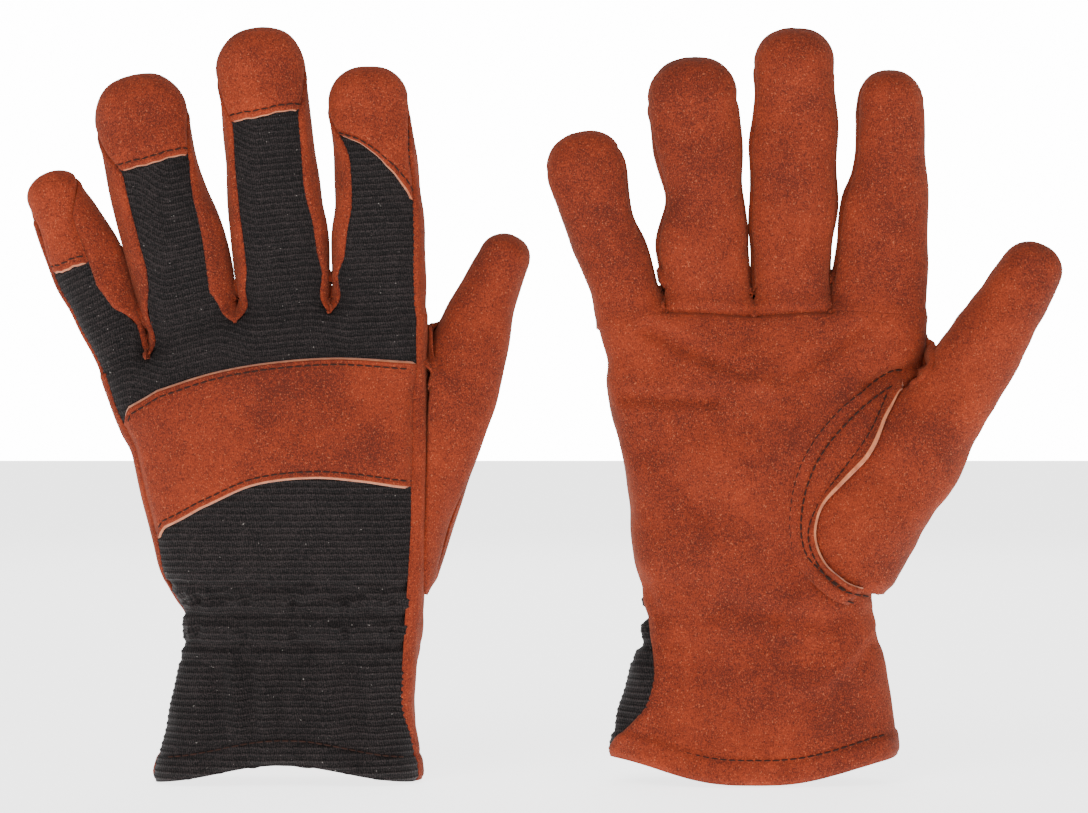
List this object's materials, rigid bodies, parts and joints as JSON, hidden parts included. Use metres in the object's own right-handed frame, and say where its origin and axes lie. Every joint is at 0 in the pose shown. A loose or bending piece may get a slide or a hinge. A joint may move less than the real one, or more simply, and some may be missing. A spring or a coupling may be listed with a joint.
{
  "type": "work gloves",
  "caption": "pair of work gloves with suede palms, finger fronts, fingertip caps and knuckle straps, ribbed stretch-knit backs and an elastic wrist, standing filled to a hand's shape",
  "frame": {"origin": "on the surface that the cuffs stand on, in the middle of the pair", "axes": "+X across the pair from the left glove to the right glove; -Y the side that shows the left glove's knit back and the right glove's palm; +Z towards the fingertips"},
  "size_m": [0.3455, 0.0408, 0.2534],
  "materials": {
    "palm_suede": "fuzzy split-leather suede, rust brown",
    "finger_suede": "fuzzy split-leather suede, rust brown",
    "cap_suede": "fuzzy split-leather suede, rust brown, raw pale edges",
    "thumb_suede": "fuzzy split-leather suede, rust brown",
    "strap_suede": "fuzzy split-leather suede, slightly flatter nap, raw pale edges",
    "back_knit": "matt stretch knit with fine crosswise ribs, warm black",
    "wrist_elastic": "woven elastic band, black",
    "thread": "dark brown sewing thread"
  },
  "bodies": {
    "left_hand": {"left_palm_panel": "palm_suede", "left_back_panel": "back_knit", "left_knuckle_strap": "strap_suede", "left_thumb_patch": "palm_suede", "left_wrist_elastic": "wrist_elastic", "left_thumb_gusset": "thumb_suede", "left_strap_stitching": "thread", "left_hem_stitching": "thread"},
    "left_little": {"left_little_front": "finger_suede", "left_little_back": "back_knit", "left_little_cap": "cap_suede", "left_little_walls": "finger_suede"},
    "left_ring": {"left_ring_front": "finger_suede", "left_ring_back": "back_knit", "left_ring_cap": "cap_suede", "left_ring_walls": "finger_suede"},
    "left_middle": {"left_middle_front": "finger_suede", "left_middle_back": "back_knit", "left_middle_cap": "cap_suede", "left_middle_walls": "finger_suede"},
    "left_index": {"left_index_front": "finger_suede", "left_index_back": "back_knit", "left_index_cap": "cap_suede", "left_index_walls": "finger_suede"},
    "left_thumb": {"left_thumb_front": "thumb_suede", "left_thumb_back": "thumb_suede"},
    "right_hand": {"right_palm_panel": "palm_suede", "right_back_panel": "back_knit", "right_knuckle_strap": "strap_suede", "right_thumb_patch": "palm_suede", "right_wrist_elastic": "wrist_elastic", "right_thumb_gusset": "thumb_suede", "right_strap_stitching": "thread", "right_hem_stitching": "thread"},
    "right_little": {"right_little_front": "finger_suede", "right_little_back": "back_knit", "right_little_cap": "cap_suede", "right_little_walls": "finger_suede"},
    "right_ring": {"right_ring_front": "finger_suede", "right_ring_back": "back_knit", "right_ring_cap": "cap_suede", "right_ring_walls": "finger_suede"},
    "right_middle": {"right_middle_front": "finger_suede", "right_middle_back": "back_knit", "right_middle_cap": "cap_suede", "right_middle_walls": "finger_suede"},
    "right_index": {"right_index_front": "finger_suede", "right_index_back": "back_knit", "right_index_cap": "cap_suede", "right_index_walls": "finger_suede"},
    "right_thumb": {"right_thumb_front": "thumb_suede", "right_thumb_back": "thumb_suede"}
  },
  "joints": [
    {"name": "left_little_flex", "type": "hinge", "parent": "left_hand", "child": "left_little", "pos_m": [-0.1407, 0.0076, 0.1434], "axis": [-0.9254, 0, -0.3791], "range_deg": [0, 60]},
    {"name": "left_ring_flex", "type": "hinge", "parent": "left_hand", "child": "left_ring", "pos_m": [-0.1176, 0.0095, 0.15305], "axis": [-0.9212, 0, -0.389], "range_deg": [0, 60]},
    {"name": "left_middle_flex", "type": "hinge", "parent": "left_hand", "child": "left_middle", "pos_m": [-0.08685, 0.0095, 0.16065], "axis": [-0.9964, 0, -0.0843], "range_deg": [0, 60]},
    {"name": "left_index_flex", "type": "hinge", "parent": "left_hand", "child": "left_index", "pos_m": [-0.05525, 0.0095, 0.1613], "axis": [-0.999, 0, 0.0447], "range_deg": [0, 60]},
    {"name": "left_thumb_flex", "type": "hinge", "parent": "left_hand", "child": "left_thumb", "pos_m": [-0.0254, 0.016, 0.141], "axis": [-0.9514, 0, 0.308], "range_deg": [0, 45]},
    {"name": "right_little_flex", "type": "hinge", "parent": "right_hand", "child": "right_little", "pos_m": [0.02895, -0.0076, 0.1591], "axis": [0.9689, 0, 0.2476], "range_deg": [0, 60]},
    {"name": "right_ring_flex", "type": "hinge", "parent": "right_hand", "child": "right_ring", "pos_m": [0.05525, -0.0095, 0.16145], "axis": [0.9993, 0, -0.0368], "range_deg": [0, 60]},
    {"name": "right_middle_flex", "type": "hinge", "parent": "right_hand", "child": "right_middle", "pos_m": [0.083, -0.0095, 0.16145], "axis": [0.9991, 0, 0.0429], "range_deg": [0, 60]},
    {"name": "right_index_flex", "type": "hinge", "parent": "right_hand", "child": "right_index", "pos_m": [0.1121, -0.0095, 0.1613], "axis": [0.9991, 0, -0.0429], "range_deg": [0, 60]},
    {"name": "right_thumb_flex", "type": "hinge", "parent": "right_hand", "child": "right_thumb", "pos_m": [0.1405, -0.016, 0.1385], "axis": [0.8872, 0, -0.4614], "range_deg": [0, 45]},
    {"name": "pair_apart", "type": "slide", "parent": "left_hand", "child": "right_hand", "axis": [1, 0, 0], "range_m": [0, 0.1]}
  ]
}
